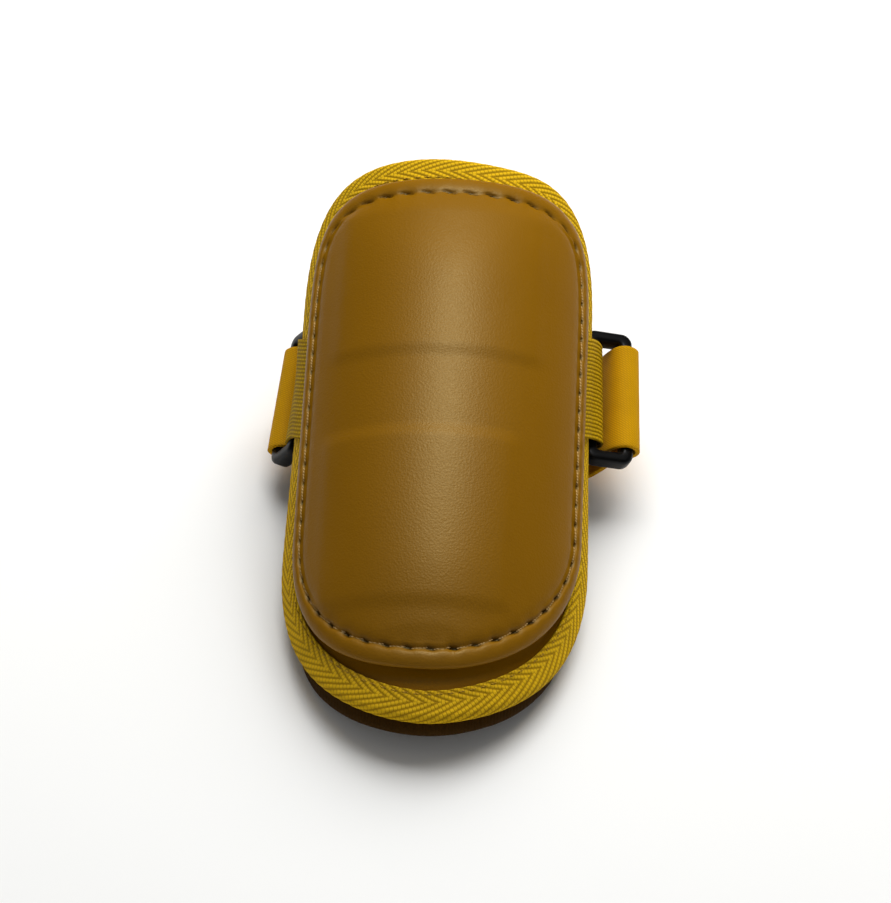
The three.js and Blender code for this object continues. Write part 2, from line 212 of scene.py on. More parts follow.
def leather(name, dark, light, roughness, shine):
    """Smooth finished cowhide: pigment coated, so its colour is nearly even, with a fine pebble
    grain that breaks up the soft shine. The grain is drawn at 0.9 mm, coarser than the real one,
    so that it shows. The mesh's own hole values paint shade into it, nearly black, where a needle
    has pulled it into a hole."""
    material, tree = new_material(name)
    place = add_node(tree, "ShaderNodeTexCoord").outputs["Object"]
    clouds = add_node(tree, "ShaderNodeTexNoise", {
        "Vector": place, "Scale": 1000 / LEATHER_CLOUD, "Detail": 3,
    })
    tint = add_node(tree, "ShaderNodeMix", {
        "Factor": clouds.outputs["Fac"], 6: linear(dark), 7: linear(light),
    }, data_type="RGBA")
    pebbles = add_node(tree, "ShaderNodeTexVoronoi", {"Vector": place, "Scale": 1000 / PEBBLE})
    pores = add_node(tree, "ShaderNodeTexNoise", {"Vector": place, "Scale": 1000 / PORE, "Detail": 4})
    grain = add_node(tree, "ShaderNodeMath", {
        0: pebbles.outputs["Distance"], 1: pores.outputs["Fac"],
    }, operation="ADD")
    bump = add_node(tree, "ShaderNodeBump", {
        "Height": grain.outputs[0], "Strength": 0.4, "Distance": GRAIN_DEPTH / 1000,
    })
    rough = add_node(tree, "ShaderNodeMapRange", {
        "Value": pores.outputs["Fac"], "To Min": roughness - 0.1, "To Max": roughness + 0.1,
    })
    # Painted shade: the leather turns nearly black in the needle holes, by the mesh's hole values
    punched = add_node(tree, "ShaderNodeMix", {
        "Factor": add_node(tree, "ShaderNodeAttribute", attribute_name="hole").outputs["Fac"],
        6: tint.outputs[2], 7: linear("#0c0500"),
    }, data_type="RGBA")
    shader = add_node(tree, "ShaderNodeBsdfPrincipled", {
        "Base Color": punched.outputs[2], "Roughness": rough.outputs[0], "Normal": bump.outputs[0],
        "IOR": 1.5, "Specular IOR Level": shine, "Specular Tint": linear("#ffefb4"),
    })
    add_node(tree, "ShaderNodeOutputMaterial", {"Surface": shader.outputs[0]})
    return material


def face_rows(inset, height, steps):
    """Rows across a panel's face, from its middle line out to an inset."""
    return [(inset, 1 - k / steps, height) for k in range(steps + 1)]


base_edges, _ = cut_outline(**BASE_OUTLINE, count=256)
# Each row of a panel's section: inset, spine and height
base_rows = face_rows(TAPE_WIDTH, 0, steps=14)
under_tape = TAPE_THICK + SEAT
base_rows += [(7, 0, 0), (3, 0, 0), (under_tape + BASE_CHAMFER, 0, 0), (under_tape, 0, -BASE_CHAMFER)]
base_rows += [(inset, spine, -BASE_THICK - height) for inset, spine, height in base_rows[::-1]]


def lay_flat(row, edge, turn):
    """Where a point of a panel's section goes on a panel with no shape of its own."""
    inset, spine, height, *_ = row
    spot = panel_spot(edge, inset, spine)
    return bent(spot.x, spot.y, height)


# The ledge's cowhide is painted a little lighter than the shell's: painted light where the lip shades it
base_panel = new_piece(
    "leather_base", sewn_panel(base_rows, base_edges, lay_flat),
    leather("ledge_cowhide", "#825700", "#8c5e00", roughness=0.7, shine=0.1),
)
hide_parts("base_panel")

# Lining pad: foam about 12 mm thick in a coated cloth, glued and sewn behind the base panel. The
# cloth is painted very dark brown, as dark as it looks in the shade under the pad's lower end.
# Its rim stands back from the tape at the sides and bulges out below it at the lower end.
LINING_THICK = 10.6
LINING_SEAT = 0.5
# The back starts to round off this far in, where it is thicker by this much, and the step behind
# the tape ends this far past the tape
BACK_INSET, BACK_BULGE = 16, 0.6
STEP_PAST_TAPE = 1
RIM_INSET = {"side": 6.6, "top": 4.6, "bottom": -3.0}
# How squarely the rim has to face an end for that end's inset to begin and to be full
END_TURN = (0.1, 0.62)
# How much further the rim stands out at the two lower corners
CORNER_BULGE = {"right": 1.5, "left": 3}
# The cloth is blown up for some frames, held where it is sewn, and moves this far at most
CLOTH_PRESSURE, SWELL_FRAMES = 4, 20
HELD_DEPTH = 1
LINING_SWELL = 2.4
lining_front = -BASE_THICK - LINING_SEAT
lining_step = -BASE_THICK - TAPE_THICK - 2 * SEAT
lining_back = lining_step - LINING_THICK
step_inset = TAPE_WIDTH + STEP_PAST_TAPE
lining_edges, _ = cut_outline(**BASE_OUTLINE, count=128)
# Each row: inset, spine, height, and how far the rim's own inset and the corners' bulge carry it
lining_rows = [(*row, 0, 0) for row in face_rows(BACK_INSET, lining_back - BACK_BULGE, steps=10)]
lining_rows += [
    (12, 0, lining_back - 0.3, 0.15, 0),
    (8, 0, lining_back + 0.3, 0.4, 0),
    (4, 0, lining_back + 1.6, 0.8, 0),
    (1, 0, lining_back + 4.0, 1, 0.2),
    (0, 0, lining_back + 6.8, 1, 0.7),
    (0.5, 0, lining_step - 1.8, 1, 1),
    (2.6, 0, lining_step - 0.1, 0.9, 0.9),
    (step_inset, 0, lining_step, 0, 0),
]
lining_rows += [(*row, 0, 0) for row in face_rows(step_inset, lining_front, steps=10)[::-1]]


def smooth_step(share):
    """A share kept between 0 and 1, with a soft start and a soft end."""
    share = min(max(share, 0), 1)
    return share * share * (3 - 2 * share)


def lay_lining(row, edge, turn):
    """Where a point of the lining goes: its rim has one inset at the sides and others at the ends."""
    inset, spine, height, rim, corner = row
    inward = edge.inward
    end = RIM_INSET["bottom" if inward.y > 0 else "top"]
    begins, full = END_TURN
    turned = smooth_step((abs(inward.y) - begins) / (full - begins))
    reach = RIM_INSET["side"] + (end - RIM_INSET["side"]) * turned
    bulge = CORNER_BULGE["left" if inward.x > 0 else "right"] * (2 * inward.x * max(inward.y, 0)) ** 2
    spot = panel_spot(edge, inset + rim * reach - corner * bulge, spine)
    return bent(spot.x, spot.y, height)


# Sizes in mm of the cloth's rib and fluff, and how deep they are
TRICOT_RIB, FLUFF, CLOTH_DEPTH = 1.2, 1.1, 0.3


def coated_cloth(name, colour):
    """Knitted polyester with a thin matt coating: dull, in the colour it is given, with a fine tricot rib
    that is drawn at 1.2 mm so that it shows."""
    material, tree = new_material(name)
    place = add_node(tree, "ShaderNodeTexCoord").outputs["Object"]
    rib = add_node(tree, "ShaderNodeTexWave", {
        "Vector": place, "Scale": 100 * pi / TRICOT_RIB, "Distortion": 0.6, "Detail": 1,
    }, bands_direction="X")
    fluff = add_node(tree, "ShaderNodeTexNoise", {"Vector": place, "Scale": 1000 / FLUFF, "Detail": 4})
    height = add_node(tree, "ShaderNodeMath", {
        0: rib.outputs["Fac"], 1: fluff.outputs["Fac"],
    }, operation="ADD")
    bump = add_node(tree, "ShaderNodeBump", {
        "Height": height.outputs[0], "Strength": 0.35, "Distance": CLOTH_DEPTH / 1000,
    })
    tint = add_node(tree, "ShaderNodeHueSaturation", {
        "Value": add_node(tree, "ShaderNodeMapRange", {
            "Value": fluff.outputs["Fac"], "To Min": 0.7, "To Max": 1.3,
        }).outputs[0], "Color": linear(colour),
    })
    shader = add_node(tree, "ShaderNodeBsdfPrincipled", {
        "Base Color": tint.outputs[0], "Roughness": 0.8, "Normal": bump.outputs[0],
        "Specular IOR Level": 0.1,
    })
    add_node(tree, "ShaderNodeOutputMaterial", {"Surface": shader.outputs[0]})
    return material


# The lining's very dark brown is painted shade: the cloth coloured as it looks in the shade at the lower
# end
lining = new_piece(
    "lining_pad_soft", sewn_panel(lining_rows, lining_edges, lay_lining),
    coated_cloth("lining_cloth", "#3a2402"),
)
# The foam pushes the cloth out from behind, while the front stays where it is sewn
held = lining.vertex_groups.new(name="held")
for vert, row in zip(lining.data.vertices, lining.data.attributes["row"].data):
    height = lining_rows[row.value][2]
    held.add([vert.index], float(height > lining_step - HELD_DEPTH), "REPLACE")
cloth = lining.modifiers.new("swell", "CLOTH")
cloth.settings.vertex_group_mass = "held"
cloth.settings.use_pressure = True
cloth.settings.uniform_pressure_force = CLOTH_PRESSURE
cloth.settings.effector_weights.gravity = 0
cloth.collision_settings.use_collision = False
for step in range(1, SWELL_FRAMES + 1):
    bpy.context.scene.frame_set(step)
swollen = lining.evaluated_get(bpy.context.evaluated_depsgraph_get()).to_mesh()
moved = [vert.co.copy() for vert in swollen.vertices]
lining.modifiers.remove(cloth)
bpy.context.scene.frame_set(1)
for vert, co in zip(lining.data.vertices, moved):
    shift = co - vert.co
    vert.co += shift * min(1, LINING_SWELL / 1000 / max(shift.length, 1e-9))
# Where the guard rests on the table the foam is pressed flat
for vert in lining.data.vertices:
    vert.co.z = max(vert.co.z, 0)
smooth = lining.modifiers.new("smooth", "SUBSURF")
smooth.levels = smooth.render_levels = 1
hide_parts("lining_pad")

# Binding: herringbone twill tape, 25 mm of it folded over the raw edges of the panel and sewn
# down. It is woven from thick bright yarn, so each diagonal rib stands up as a row of beads.
RIB_ANGLE = radians(22)
RIB_HEIGHT = 0.16
# The height of the ribs at which the tape keeps its thickness
RIB_MEAN = 0.6
RIB_WANTED, BEAD_WANTED = 2.1, 1.6
FOLD_STEPS = 12
tape_edges, tape_length = cut_outline(**BASE_OUTLINE, count=660)
# There are whole numbers of pairs of ribs and of beads, so that the weave has no seam
across_ribs, along_ribs = tape_length * sin(RIB_ANGLE), tape_length * cos(RIB_ANGLE)
RIB_PITCH = across_ribs / (2 * round(across_ribs / (2 * RIB_WANTED)))
BEAD_PITCH = along_ribs / round(along_ribs / BEAD_WANTED)
tape_front = SEAT + TAPE_THICK
tape_back = -BASE_THICK - SEAT - TAPE_THICK
tape_fold = (tape_front + tape_back) / 2
tape_shoulder = (tape_front - tape_back) / 2
tape_outer = [(TAPE_WIDTH, tape_front), (tape_shoulder, tape_front)]
tape_outer += [
    (tape_shoulder * (1 - sin(turn)), tape_fold + tape_shoulder * cos(turn))
    for turn in np.linspace(0, pi, FOLD_STEPS + 1)[1:-1]
]
tape_outer += [(tape_shoulder, tape_back), (TAPE_WIDTH, tape_back)]
tape_across = np.concatenate([[0], np.cumsum([
    (Vector(b) - Vector(a)).length for a, b in zip(tape_outer, tape_outer[1:])
])])
TAPE_ROW = 0.42
# The twill turns back along one line, at a whole number of rows from the tape's inner edge
TWILL_TURN = 11 * TAPE_ROW
tape_wide = np.arange(0, tape_across[-1], TAPE_ROW)
outer_insets, outer_heights = zip(*tape_outer)
# Each row has its distance across the tape as well
tape_rows = [
    (np.interp(across, tape_across, outer_insets), 0, np.interp(across, tape_across, outer_heights), across)
    for across in tape_wide
]
tape_rows += [
    (inset, 0, height, tape_across[-1])
    for inset, height in (
        (TAPE_WIDTH, -BASE_THICK - SEAT), (TAPE_THICK, -BASE_THICK - SEAT),
        (TAPE_THICK, SEAT), (TAPE_WIDTH, SEAT),
    )
]


def tape_rib(along, across):
    """Height of the twill at one place of the tape, from 0 in a valley to 1 on a rib."""
    turned = abs(across - TWILL_TURN)
    return abs(sin(pi * (along * sin(RIB_ANGLE) + turned * cos(RIB_ANGLE)) / RIB_PITCH))


def mark_threads(bm, edges, length, rows):
    """A UV map in millimetres along the tape and across it from where the twill turns."""
    row_of, turn_of = bm.verts.layers.int["row"], bm.verts.layers.int["turn"]
    threads = bm.loops.layers.uv.new("threads")
    for face in bm.faces:
        turns = [loop.vert[turn_of] for loop in face.loops]
        wraps = max(turns) - min(turns) > len(edges) / 2
        for loop, turn in zip(face.loops, turns):
            along = edges[turn].distance + (length if wraps and turn == 0 else 0)
            across = rows[loop.vert[row_of]][-1]
            loop[threads].uv = (along, abs(across - TWILL_TURN))


# The gap between two beads as a share of a bead, how much painted shade darkens it, and the clouds
# in the yarn's colour in mm
BEAD_GAP, GAP_SHADE, YARN_CLOUD = 0.22, 0.55, 12
YARN_DEPTH = 0.3


def yarn(name, dark, light, bead, rib, turn, depth):
    """Spun polyester yarn in a thick twill or rib weave, with painted light and shade: each float of yarn
    is painted as a small bright bead with a faint shaded gap to the next, and the valleys between the
    ribs are painted dark. Sizes are of one bead along and across its rib and of the weave's depth, in
    mm, and turn is the ribs' angle."""
    material, tree = new_material(name)
    threads = add_node(tree, "ShaderNodeUVMap", uv_map="threads").outputs[0]
    turned = add_node(tree, "ShaderNodeMapping", {
        "Vector": threads, "Rotation": (0, 0, turn),
    }).outputs[0]
    across = add_node(tree, "ShaderNodeSeparateXYZ", {0: turned}).outputs["Y"]
    angle = add_node(tree, "ShaderNodeMath", {0: across, 1: pi / rib}, operation="MULTIPLY")
    swing = add_node(tree, "ShaderNodeMath", {0: angle.outputs[0]}, operation="SINE")
    ridge = add_node(tree, "ShaderNodeMath", {0: swing.outputs[0]}, operation="ABSOLUTE")
    gaps = add_node(tree, "ShaderNodeTexBrick", {
        "Vector": turned, "Scale": 1, "Brick Width": bead, "Row Height": rib,
        "Mortar Size": BEAD_GAP * bead, "Mortar Smooth": 1, "Bias": 0,
    })
    weave = add_node(tree, "ShaderNodeMath", {
        0: gaps.outputs["Fac"], 1: -GAP_SHADE, 2: ridge.outputs[0],
    }, operation="MULTIPLY_ADD", use_clamp=True)
    # Painted light and shade: light on the beads and ribs, dark in the gaps and the valleys between ribs
    colour = add_node(tree, "ShaderNodeMix", {
        "Factor": weave.outputs[0], 6: linear(dark), 7: linear(light),
    }, data_type="RGBA")
    place = add_node(tree, "ShaderNodeTexCoord").outputs["Object"]
    clouds = add_node(tree, "ShaderNodeTexNoise", {
        "Vector": place, "Scale": 1000 / YARN_CLOUD, "Detail": 3,
    })
    tint = add_node(tree, "ShaderNodeHueSaturation", {
        "Value": add_node(tree, "ShaderNodeMapRange", {
            "Value": clouds.outputs["Fac"], "To Min": 0.85, "To Max": 1.15,
        }).outputs[0], "Color": colour.outputs[2],
    })
    bump = add_node(tree, "ShaderNodeBump", {
        "Height": weave.outputs[0], "Strength": 0.8, "Distance": depth / 1000,
    })
    shader = add_node(tree, "ShaderNodeBsdfPrincipled", {
        "Base Color": tint.outputs[0], "Roughness": 0.8, "Normal": bump.outputs[0],
        "Specular IOR Level": 0.1,
    })
    add_node(tree, "ShaderNodeOutputMaterial", {"Surface": shader.outputs[0]})
    return material


tape = sewn_panel(tape_rows, tape_edges, lay_flat, closed=True)
mark_threads(tape, tape_edges, tape_length, tape_rows)
tape.normal_update()
row_of, turn_of = tape.verts.layers.int["row"], tape.verts.layers.int["turn"]
for vert in tape.verts:
    if vert[row_of] < len(tape_wide):
        rib = tape_rib(tape_edges[vert[turn_of]].distance, tape_rows[vert[row_of]][-1])
        vert.co += vert.normal * (rib - RIB_MEAN) * RIB_HEIGHT / 1000
binding = new_piece(
    "twill_binding", tape,
    yarn("twill_tape", "#a07b04", "#dcb014", BEAD_PITCH, RIB_PITCH, RIB_ANGLE, YARN_DEPTH),
)
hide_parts("binding")

# Shell: a moulded plate under one skin of smooth cowhide, rolled under at the rim and sewn through
# to the base panel. Two foam plates stand up a little under the skin, with soft edges.
SHELL_OUTLINE = {"half": 58.4, "ends": ((101, 59, 1.9, 2.35), (107.5, 84, 4.7, 4.7))}
SHELL_SHIFT = 1.4
STITCHES = 66
STITCH_INSET = 7.4
STITCH_COLUMNS = 8
# How deep a hole is and how dark its painted shade is at each column away from its middle, and how
# wide it is, along the sides and at the lower and upper ends, where the leather is pulled more
HOLE_SIDE = ((1, 0.35, 0, 0, 0), 0.8)
HOLE_LOWER = ((1, 0.85, 0.2, 0, 0), 0.7)
HOLE_UPPER = ((1, 1, 0.6, 0.15, 0), 0.3)
HOLE_DEPTH = 1.1
HOLE_SLANT = 0.3
# Each stitch tugs at least this hard, and up to so much harder
TUG_LEAST, TUG_VARIES = 0.6, 0.8
# Between the holes the leather puckers up, over this width and by this much
PUCKER_WIDE, PUCKER_HIGH = 2.8, 0.16
# How much shallower the seam's groove is at the upper end
GROOVE_FILL = 0.5
# The lip stands higher and is narrower along the sides
LIP_RISE = 1.2
LIP_NARROW = 0.4
# The section's underside ends at one height and its front begins at another, and on the front
# the crown begins at one inset, from where on the plates can raise it
UNDERSIDE_TO, FRONT_FROM, CROWN_FROM = 1.5, 4.4, 9
UNDERSIDE_INSET, SHELL_SEAT = 11, 0.5
CROWN_INSET = 13
CROWN_EDGE, CROWN_MIDDLE, CROWN_ROWS = 6.8, 9.2, 26
PLATE_STEP, PLATE_SOFT = 0.6, 3.5
PLATES = (
    {"from": 27, "to": 94, "left": -42, "right": 34},
    {"from": -76, "to": -7, "left": -44, "right": 26},
)
# Below the lower plate the skin runs straight down to the stitches: their place and height, and
# how much it rises per millimetre from there
RAMP = {"from": -93.6, "height": 5.3, "rise": 0.21}
shell_edges, _ = cut_outline(
    **SHELL_OUTLINE, count=STITCHES * STITCH_COLUMNS, even_at=STITCH_INSET,
)
# Inset and height of each row round the rim: the underside, the rolled edge, the top of the lip,
# the groove of the seam and the foot of the crown
RIM_SECTION = (
    (9.2, 1.0), (7.0, 2.0), (4.5, 2.1), (2.4, 2.1),
    (1.2, 2.3), (0.45, 2.75), (0.08, 3.3), (0, 3.9), (0.3, 4.5), (0.9, 5.0), (1.8, 5.4),
    (3.0, 5.7), (4.4, 5.85), (5.5, 5.8), (6.2, 5.6),
    (6.8, 5.2), (7.4, 4.9), (8.0, 5.2), (8.6, 5.65),
    (9.4, 6.05), (11, 6.5),
)
shell_rows = face_rows(UNDERSIDE_INSET, SHELL_SEAT, steps=6)
shell_rows += [(inset, 0, height) for inset, height in RIM_SECTION]
shell_rows += [
    (CROWN_INSET, spine, CROWN_EDGE + (CROWN_MIDDLE - CROWN_EDGE) * sin(spine * pi / 2))
    for spine in np.linspace(0, 1, CROWN_ROWS)
]


def soft_step(inside):
    """How far a plate's edge has risen, from the distance inside it."""
    return smooth_step((inside + PLATE_SOFT) / (2 * PLATE_SOFT))


def crown_height(height, spot):
    """The crown's height with the plates under it and the ramp at its lower end."""
    raised = PLATE_STEP * max(
        soft_step(spot.y - plate["from"]) * soft_step(plate["to"] - spot.y)
        * soft_step(spot.x - plate["left"]) * soft_step(plate["right"] - spot.x)
        for plate in PLATES
    )
    return min(height + raised, RAMP["height"] + RAMP["rise"] * (spot.y - RAMP["from"]))


def uneven(number):
    """A repeatable share from 0 to 1, so that no two stitches pull quite alike."""
    return (sin(number * 12.9898) * 43758.5453) % 1


def side_share(edge):
    """How far a place on the edge belongs to the sides, from 0 to 1."""
    return edge.inward.x ** 4


def end_share(edge):
    """How far a place on the edge belongs to the lower or the upper end, from 0 to 1."""
    return min(2 * abs(edge.inward.y), 1)


def hole_at(row, edge, turn):
    """How far a place lies in a needle hole, from 0 to 1. Each hole is a slanted slit."""
    inset, spine, height = row
    if spine or height < FRONT_FROM:
        return 0
    column = (turn + STITCH_COLUMNS // 2) % STITCH_COLUMNS - STITCH_COLUMNS // 2
    side_shape, side_wide = HOLE_SIDE
    end_shape, end_wide = HOLE_LOWER if edge.inward.y > 0 else HOLE_UPPER
    end = end_share(edge)
    shape = side_shape[abs(column)] * (1 - end) + end_shape[abs(column)] * end
    wide = side_wide * (1 - end) + end_wide * end
    return shape * exp(-((inset - STITCH_INSET + HOLE_SLANT * column) / wide) ** 2)


def lay_shell(row, edge, turn):
    """Where a point of the skin goes: over the plates, round the lip and along the puckered seam."""
    inset, spine, height = row
    side = side_share(edge)
    narrowed = inset * (1 - LIP_NARROW * side) if height > UNDERSIDE_TO else inset
    spot = panel_spot(edge, narrowed, spine)
    if height > FRONT_FROM:
        height = crown_height(height, spot) if inset >= CROWN_FROM else height
        stitch = (turn + STITCH_COLUMNS // 2) // STITCH_COLUMNS % STITCHES
        tug = TUG_LEAST + TUG_VARIES * uneven(stitch)
        pucker = exp(-((inset - STITCH_INSET) / PUCKER_WIDE) ** 2) * (spine == 0)
        height -= PUCKER_HIGH * tug * pucker * cos(tau * turn / STITCH_COLUMNS)
        height -= HOLE_DEPTH * tug * hole_at(row, edge, turn)
        if spine == 0 and edge.inward.y < 0:
            height += GROOVE_FILL * end_share(edge) * exp(-(inset - STITCH_INSET) ** 2)
    if spine == 0 and height > UNDERSIDE_TO and inset < CROWN_FROM:
        height += LIP_RISE * side
    return bent(spot.x + SHELL_SHIFT, spot.y, height)


shell_skin = sewn_panel(shell_rows, shell_edges, lay_shell)
row_of, turn_of = shell_skin.verts.layers.int["row"], shell_skin.verts.layers.int["turn"]
# The hole values are painted shade, by which the leather material darkens the needle holes
hole = shell_skin.verts.layers.float.new("hole")
for vert in shell_skin.verts:
    vert[hole] = hole_at(shell_rows[vert[row_of]], shell_edges[vert[turn_of]], vert[turn_of])
shell = new_piece(
    "leather_shell", shell_skin,
    leather("shell_cowhide", "#7f5500", "#885c00", roughness=0.45, shine=0.3),
)
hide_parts("shell")

# Stitching: heavy bonded polyester thread through punched holes, one stitch for each pair of holes.
# The lockstitch pulls each one a little askew, so its end dives into the hole beside the next.
THREAD = 1.1
STITCH_LENGTH = 6.6
STITCH_SLANT = 0.5
# Each one's slant is at least this share of that, and up to so much more
SLANT_LEAST, SLANT_VARIES = 0.7, 0.6
STITCH_HEIGHT = 5.2
# How much deeper the thread is pulled in at the lower and upper ends
SUNK_LOWER, SUNK_UPPER = 0.5, 1.3


def stitch_line(name, spots, length, thick, material):
    """One thin ellipsoid for each stitch: spots gives its two ends and the way up."""
    bm = bmesh.new()
    for start, end, up in spots:
        run = (end - start).normalized()
        side = up.cross(run).normalized()
        turn = Matrix((run, side, run.cross(side))).transposed().to_4x4()
        half_length, half_thick = length / 2000, thick / 2000
        size = Matrix.Diagonal((half_length, half_thick, half_thick, 1))
        place = Matrix.Translation((start + end) / 2) @ turn @ size @ Matrix.Rotation(pi / 2, 4, "Y")
        bmesh.ops.create_uvsphere(bm, u_segments=7, v_segments=6, radius=1, matrix=place)
    return new_piece(name, bm, material)


PLY, PLY_DEPTH = 0.8, 0.2


def thread(name, dark, light):
    """Twisted polyester thread: its plies show as fine slanted stripes, 0.8 mm apart, with painted
    shade between the plies and a lighter colour on them.
    """
    material, tree = new_material(name)
    place = add_node(tree, "ShaderNodeTexCoord").outputs["Object"]
    plies = add_node(tree, "ShaderNodeTexWave", {
        "Vector": place, "Scale": 100 * pi / PLY, "Distortion": 1, "Detail": 1,
    }, bands_direction="DIAGONAL")
    # Painted shade: darker between the plies, lighter on them
    tint = add_node(tree, "ShaderNodeMix", {
        "Factor": plies.outputs["Fac"], 6: linear(dark), 7: linear(light),
    }, data_type="RGBA")
    bump = add_node(tree, "ShaderNodeBump", {
        "Height": plies.outputs["Fac"], "Strength": 0.5, "Distance": PLY_DEPTH / 1000,
    })
    shader = add_node(tree, "ShaderNodeBsdfPrincipled", {
        "Base Color": tint.outputs[2], "Roughness": 0.7, "Normal": bump.outputs[0],
        "Specular IOR Level": 0.2,
    })
    add_node(tree, "ShaderNodeOutputMaterial", {"Surface": shader.outputs[0]})
    return material


def stitch_spot(edge, inset, height):
    """A place on the seam, which follows the shell's lip and sinks in at the ends."""
    side = side_share(edge)
    spot = panel_spot(edge, inset * (1 - LIP_NARROW * side), 0)
    sunk = (SUNK_LOWER if edge.inward.y > 0 else SUNK_UPPER) * end_share(edge)
    return bent(spot.x + SHELL_SHIFT, spot.y, height + LIP_RISE * side - sunk)


shell_stitches = []
for number in range(STITCHES):
    first = shell_edges[number * STITCH_COLUMNS]
    last = shell_edges[(number + 1) * STITCH_COLUMNS % len(shell_edges)]
    slant = STITCH_SLANT * (SLANT_LEAST + SLANT_VARIES * uneven(number + 0.5))
    start = stitch_spot(first, STITCH_INSET - slant, STITCH_HEIGHT)
    end = stitch_spot(last, STITCH_INSET + slant, STITCH_HEIGHT)
    above = stitch_spot(first, STITCH_INSET, STITCH_HEIGHT + 1)
    shell_stitches.append((start, end, above - start))
shell_thread = stitch_line(
    "shell_stitching", shell_stitches, STITCH_LENGTH, THREAD,
    thread("tan_thread", "#8c6b32", "#c8a266"),
)

# Tape stitching: one row of yellow lockstitch near the inner edge of the tape, which holds both
# of its sides to the panel. The thread sinks into the weave, so little of it shows.
TAPE_STITCHES = 140
TAPE_STITCH_LENGTH, TAPE_THREAD = 2.8, 0.7
# How far the row is from the tape's inner edge
TAPE_SEAM = 1.5
tape_line = TAPE_WIDTH - TAPE_SEAM
line_edges, _ = cut_outline(**BASE_OUTLINE, count=2 * TAPE_STITCHES, even_at=tape_line)


def tape_spot(edge, height):
    spot = panel_spot(edge, tape_line, 0)
    return bent(spot.x, spot.y, height)


tape_stitches = []
for first, last in zip(line_edges[0::2], line_edges[1::2]):
    start, end = tape_spot(first, tape_front), tape_spot(last, tape_front)
    tape_stitches.append((start, end, tape_spot(first, tape_front + 1) - start))
tape_thread = stitch_line(
    "tape_stitching", tape_stitches, TAPE_STITCH_LENGTH, TAPE_THREAD,
    thread("yellow_thread", "#866604", "#bf9614"),
)

# Webbing tabs: woven nylon webbing 44 mm wide, sewn under the shell's edge, folded round the
# inner bar of each ring and sewn again behind the tape. Its ribs run along the webbing.
WEBBING_WIDTH = 44
WEBBING_THICK = 1.3
WEBBING_RIB = 1.7
WEBBING_BEAD = 2.4
# How high its ribs stand, how much higher the beads on them, and what the weave takes off its thickness
RIB_RELIEF, BEAD_RELIEF, WEAVE_ROOM = 0.1, 0.14, 0.3
TAB_STATIONS, TAB_COLUMNS = 70, 100
# Distances round the arm where a tab starts in front and ends behind, and how far past the panel's
# edge the ring's inner bar is
TAB_START = 55.5
TAB_END = 68
TAB_REACH = 6.5
# Steps in mm in front of the panel and behind it, and how many there are round the bar
TAB_FRONT_STEP, TAB_BACK_STEP, TAB_TURNS = 4, 2, 6
# Points on a curve between two given ones, before they are spaced out evenly
CURVE_POINTS = 16
# Half the thickness of a ring's bar with the room that a band needs round it
BAR_CLEAR = 4.1
# Each ring: its side, its place along the arm, how steeply its webbing hangs, how far below the
# ring's middle that lies in it and how much further down the arm it is sewn, and the ring's own
# tilt and yaw
SIDES = {
    "right": {
        "mirror": 1, "place": 33, "hang": 70, "slide": -0.8, "slant": 6, "tilt": 17, "yaw": 1.8,
    },
    "left": {
        "mirror": -1, "place": 31.9, "hang": 92.6, "slide": 1.8, "slant": 7.5, "tilt": 60, "yaw": -5,
    },
}


def inner_bar(side, across):
    """The middle of a ring's inner bar in the cross-section, drawn on the right-hand side. The bar
    stays straight where the pad bows."""
    fold = arch_section(BASE_OUTLINE["half"], side["place"], -BASE_THICK / 2)
    hang = radians(side["hang"])
    swing = side["mirror"] * across * tan(radians(side["yaw"]))
    return fold + Vector((TAB_REACH * cos(hang) - swing, bow_drop(across) - TAB_REACH * sin(hang)))


def even_path(points, count):
    """count evenly spaced points on a smooth curve through the given ones."""
    points = np.array(points)
    ends = np.concatenate([2 * points[:1] - points[1:2], points, 2 * points[-1:] - points[-2:-1]])
    fine = []
    for a, b, c, d in zip(ends, ends[1:], ends[2:], ends[3:]):
        for t in np.linspace(0, 1, CURVE_POINTS, endpoint=False):
            fine.append(b + (c - a) * t / 2 + (a - 2.5 * b + 2 * c - d / 2) * t ** 2
                        + (1.5 * b - a / 2 - 1.5 * c + d / 2) * t ** 3)
    fine = np.array(fine + [points[-1]])
    length = np.concatenate([[0], np.cumsum(np.linalg.norm(np.diff(fine, axis=0), axis=1))])
    wanted = np.linspace(0, length[-1], count)
    return np.stack([np.interp(wanted, length, fine[:, k]) for k in range(fine.shape[1])], 1), wanted


def woven_band(name, count, columns, width, thick, path, material, relief=None):
    """A flat band along path(across), which gives its points and their distances in millimetres.
    relief(along, across), if there is one, is the weave's height."""
    bm = bmesh.new()
    bmesh.ops.create_grid(bm, x_segments=count - 1, y_segments=columns, size=0.5)
    threads = bm.loops.layers.uv.new("threads")
    columns_at = {}
    flat = {}
    for vert in bm.verts:
        station = round((vert.co.x + 0.5) * (count - 1))
        across = vert.co.y * width
        key = round(across, 3)
        if key not in columns_at:
            columns_at[key] = path(across)
        points, distances = columns_at[key]
        run = points[min(station + 1, count - 1)] - points[max(station - 1, 0)]
        off = Vector((-run[2], 0, run[0])).normalized()
        flat[vert] = (distances[station], across)
        lift = relief(*flat[vert]) if relief else 0
        vert.co = (Vector(points[station]) + off * lift) / 1000
    for face in bm.faces:
        for loop in face.loops:
            loop[threads].uv = flat[loop.vert]
    bmesh.ops.recalc_face_normals(bm, faces=bm.faces)
    band = new_piece(name, bm, material)
    solid = band.modifiers.new("thickness", "SOLIDIFY")
    solid.thickness = thick / 1000
    solid.offset = 0
    return band


